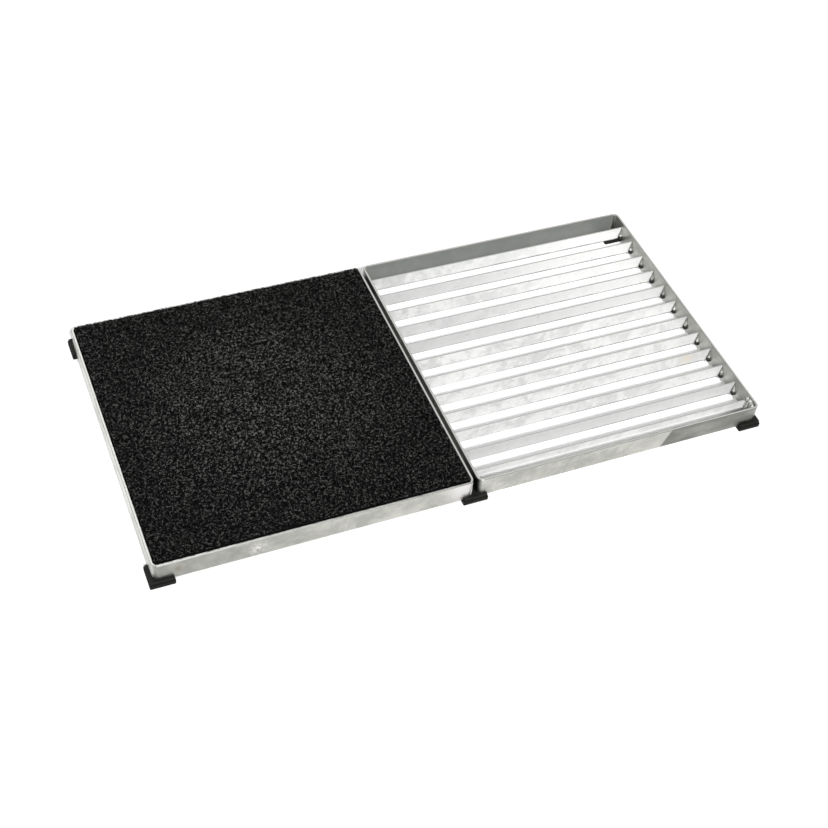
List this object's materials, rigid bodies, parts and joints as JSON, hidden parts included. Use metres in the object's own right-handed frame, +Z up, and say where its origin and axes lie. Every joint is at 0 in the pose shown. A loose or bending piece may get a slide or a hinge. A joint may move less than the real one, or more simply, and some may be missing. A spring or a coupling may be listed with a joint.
{
  "type": "entrance mat grate",
  "caption": "Galvanised steel entrance mat grate: two welded slatted frames side by side on rubber feet, one bay holding a black coil mat, the other open for scraping shoes.",
  "frame": {"origin": "centre of the object on the floor, under the gap between the two frames", "axes": "+X along the long side from the mat bay to the open bay, +Y from front to back, +Z up"},
  "size_m": [0.8004, 0.41, 0.037],
  "materials": {
    "frame_steel": "galvanised, dull",
    "slat_steel": "galvanised, bright",
    "coil_mat": "black looped filament",
    "rubber_feet": "moulded, matt"
  },
  "bodies": {
    "root": {"frame_left": "frame_steel", "frame_right": "frame_steel", "slat_left_01": "slat_steel", "slat_left_02": "slat_steel", "slat_left_03": "slat_steel", "slat_left_04": "slat_steel", "slat_left_05": "slat_steel", "slat_left_06": "slat_steel", "slat_left_07": "slat_steel", "slat_left_08": "slat_steel", "slat_left_09": "slat_steel", "slat_left_10": "slat_steel", "slat_left_11": "slat_steel", "slat_left_12": "slat_steel", "slat_right_01": "slat_steel", "slat_right_02": "slat_steel", "slat_right_03": "slat_steel", "slat_right_04": "slat_steel", "slat_right_05": "slat_steel", "slat_right_06": "slat_steel", "slat_right_07": "slat_steel", "slat_right_08": "slat_steel", "slat_right_09": "slat_steel", "slat_right_10": "slat_steel", "slat_right_11": "slat_steel", "slat_right_12": "slat_steel", "coil_mat": "coil_mat", "foot_front_left": "rubber_feet", "foot_front_right": "rubber_feet", "foot_back_right": "rubber_feet", "foot_back_left": "rubber_feet", "foot_join_front": "rubber_feet", "foot_join_back": "rubber_feet"}
  },
  "joints": []
}
